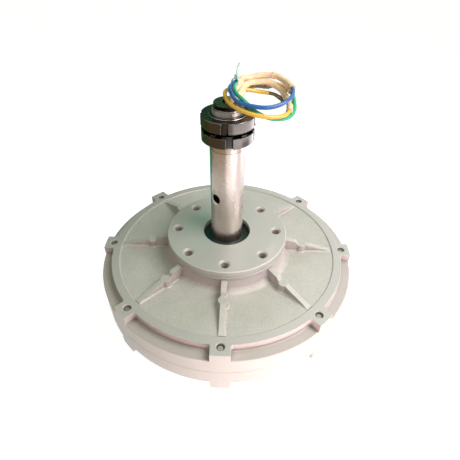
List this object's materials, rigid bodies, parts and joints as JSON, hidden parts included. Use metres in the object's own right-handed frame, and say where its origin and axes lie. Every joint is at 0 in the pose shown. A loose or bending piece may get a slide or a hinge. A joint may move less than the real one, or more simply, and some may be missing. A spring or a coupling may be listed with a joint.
{
  "type": "permanent magnet generator",
  "caption": "Disc-shaped direct drive generator: a ribbed two-part casing with hub flanges turns on a hollow fixed shaft that carries slotted lock nuts and a coil of leads.",
  "frame": {"origin": "on the shaft axis, at the machined face of the lower hub flange", "axes": "+Z along the shaft towards its threaded end; one pair of casing lugs points to -Y"},
  "size_m": [0.4149, 0.4148, 0.4218],
  "materials": {
    "cast_aluminium": "as cast, machined on the mating faces",
    "bearing_steel": "ground",
    "seal_rubber": "smooth, slightly glossy",
    "shaft_steel": "turned and ground",
    "black_steel": "oil blackened",
    "bolt_steel": "zinc plated",
    "yellow_insulation": "smooth",
    "green_insulation": "smooth",
    "blue_insulation": "smooth",
    "braided_sleeving": "varnished glass braid",
    "bare_strands": "twisted bare strands",
    "tie_nylon": "translucent nylon"
  },
  "bodies": {
    "casing": {"upper_cover": "cast_aluminium", "lower_cover": "cast_aluminium", "upper_bearing_outer_ring": "bearing_steel", "lower_bearing_outer_ring": "bearing_steel", "upper_bearing_seal": "seal_rubber", "lower_bearing_seal": "seal_rubber", "upper_shaft_seal": "seal_rubber"},
    "shaft": {"shaft": "shaft_steel", "upper_bearing_inner_ring": "bearing_steel", "lower_bearing_inner_ring": "bearing_steel", "shaft_circlip": "black_steel", "spacer_ring": "shaft_steel", "lower_lock_nut": "black_steel", "tab_washer": "black_steel", "upper_lock_nut": "black_steel", "yellow_lead": "yellow_insulation", "green_lead": "green_insulation", "blue_lead": "blue_insulation", "lead_coil": "braided_sleeving", "cable_tie": "tie_nylon"}
  },
  "joints": [
    {"name": "rotor_turn", "type": "hinge", "parent": "casing", "child": "shaft", "pos_m": [0, 0, 0.079], "axis": [0, 0, 1], "continuous": true}
  ]
}
